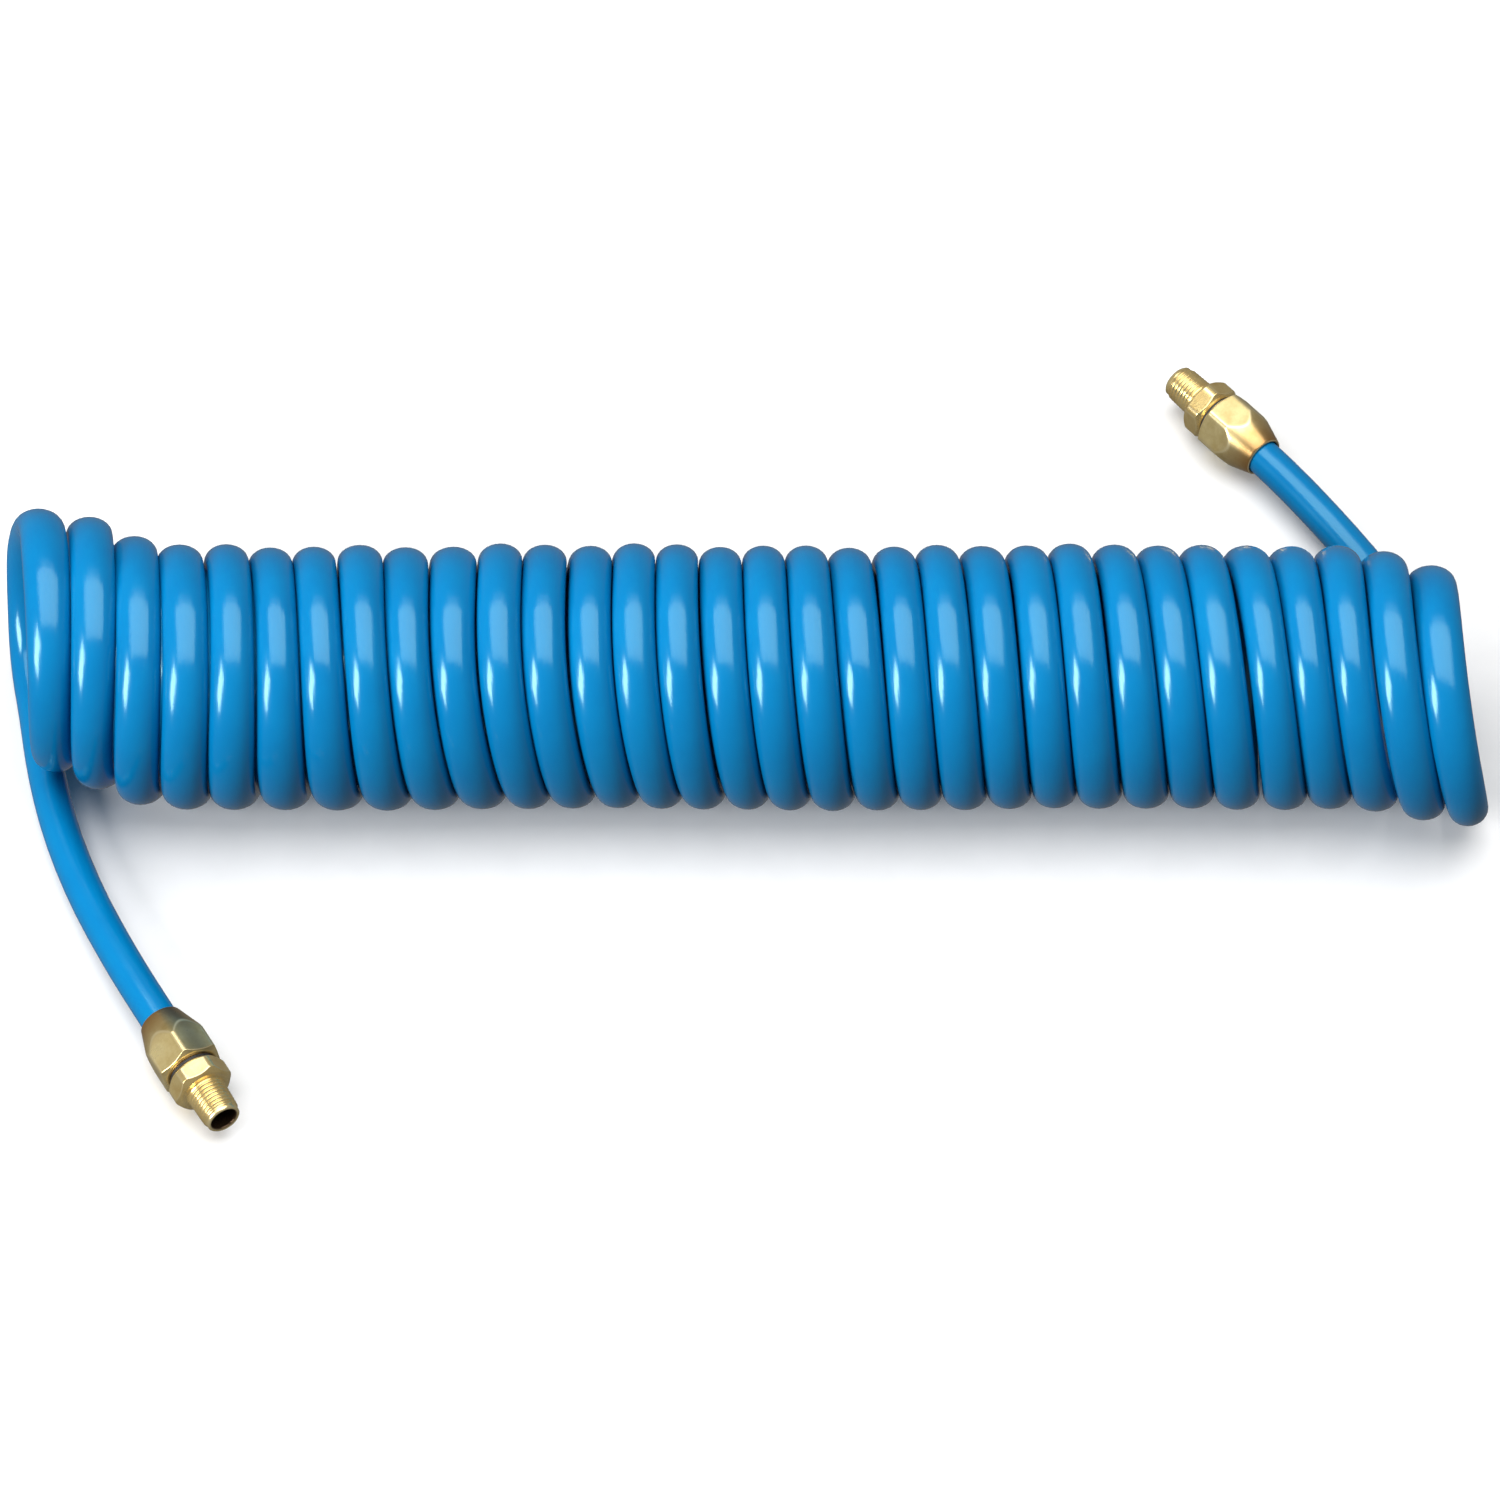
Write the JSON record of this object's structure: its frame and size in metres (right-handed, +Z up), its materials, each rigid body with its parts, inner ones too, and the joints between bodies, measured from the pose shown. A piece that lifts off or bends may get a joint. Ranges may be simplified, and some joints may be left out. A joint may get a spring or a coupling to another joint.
{
  "type": "coiled air hose",
  "caption": "Self-coiling plastic compressed-air hose with a brass swivel fitting and male pipe thread at each end.",
  "frame": {"origin": "on the ground plane, under the middle of the whole hose's bounding box; the coil's axis is 45 mm above it", "axes": "+X along the coil from the front tail's end to the rear tail's end, +Y away from the front tail, +Z up"},
  "size_m": [0.5072, 0.3268, 0.09],
  "materials": {
    "hose_plastic": "glossy extruded nylon, bright blue",
    "nut_brass": "turned brass, satin, with bright edges",
    "body_brass": "turned brass, satin",
    "connector_brass": "turned brass, polished, with cut threads",
    "washer_plastic": "black acetal",
    "seal_rubber": "black nitrile rubber",
    "ring_steel": "bright spring wire"
  },
  "bodies": {
    "hose_front": {"front_hose_nut": "nut_brass", "front_ferrule": "nut_brass", "front_barb_body": "body_brass", "front_thrust_washer": "washer_plastic", "front_snap_ring": "ring_steel", "front_tail": "hose_plastic", "front_turns": "hose_plastic", "coil": "hose_plastic"},
    "front_connector": {"front_male_connector": "connector_brass", "front_inner_o_ring": "seal_rubber", "front_outer_o_ring": "seal_rubber"},
    "hose_rear": {"rear_hose_nut": "nut_brass", "rear_ferrule": "nut_brass", "rear_barb_body": "body_brass", "rear_thrust_washer": "washer_plastic", "rear_snap_ring": "ring_steel", "rear_tail": "hose_plastic", "rear_turns": "hose_plastic"},
    "rear_connector": {"rear_male_connector": "connector_brass", "rear_inner_o_ring": "seal_rubber", "rear_outer_o_ring": "seal_rubber"}
  },
  "joints": [
    {"name": "coil_stretch", "type": "slide", "parent": "hose_front", "child": "hose_rear", "axis": [1, 0, 0], "range_m": [0, 5.5], "stiffness_N_per_m": 12, "deforming": ["coil"]},
    {"name": "front_swivel", "type": "hinge", "parent": "hose_front", "child": "front_connector", "pos_m": [-0.1856, -0.13719, 0.0116], "axis": [0.4917, -0.8708, 0], "continuous": true},
    {"name": "rear_swivel", "type": "hinge", "parent": "hose_rear", "child": "rear_connector", "pos_m": [0.1693, 0.13914, 0.0116], "axis": [-0.6371, 0.7707, 0], "continuous": true}
  ]
}
